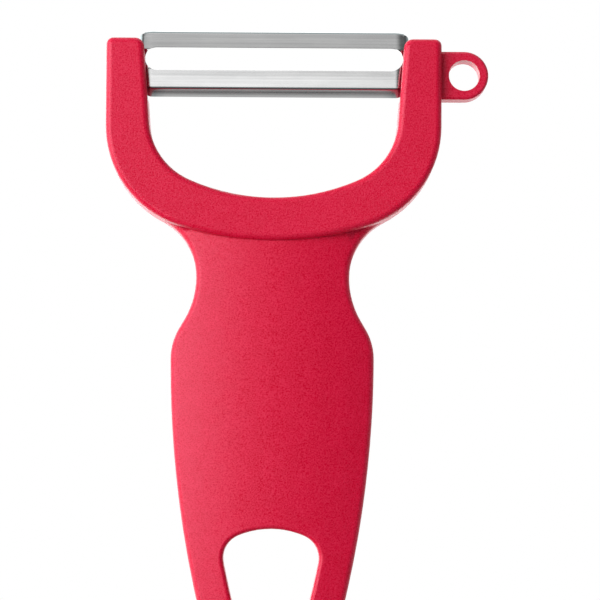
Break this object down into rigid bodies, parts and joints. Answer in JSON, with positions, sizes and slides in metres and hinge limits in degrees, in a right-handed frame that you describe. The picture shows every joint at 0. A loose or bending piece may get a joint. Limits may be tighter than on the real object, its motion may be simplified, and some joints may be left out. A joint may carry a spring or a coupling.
{
  "type": "vegetable peeler",
  "caption": "Y-shaped vegetable peeler: one-piece plastic handle and yoke with a hanging hole and a side ring for potato eyes, and a slotted steel blade that swivels between the arms.",
  "frame": {"origin": "on the flat back, on the body's line of symmetry, halfway along the body's length", "axes": "+X across the yoke towards the side ring, +Y along the handle towards the blade, +Z out of the front face; the part lies on its back"},
  "size_m": [0.073, 0.1364, 0.0095],
  "materials": {
    "moulded_plastic": "fine spark-eroded grain, red",
    "blade_steel": "rolled stainless sheet, bright"
  },
  "bodies": {
    "body": {"handle_body": "moulded_plastic"},
    "blade": {"swivel_blade": "blade_steel"}
  },
  "joints": [
    {"name": "blade_swivel", "type": "hinge", "parent": "body", "child": "blade", "pos_m": [0, 0.0631, 0.0044], "axis": [1, 0, 0], "range_deg": [-16, 28]}
  ]
}
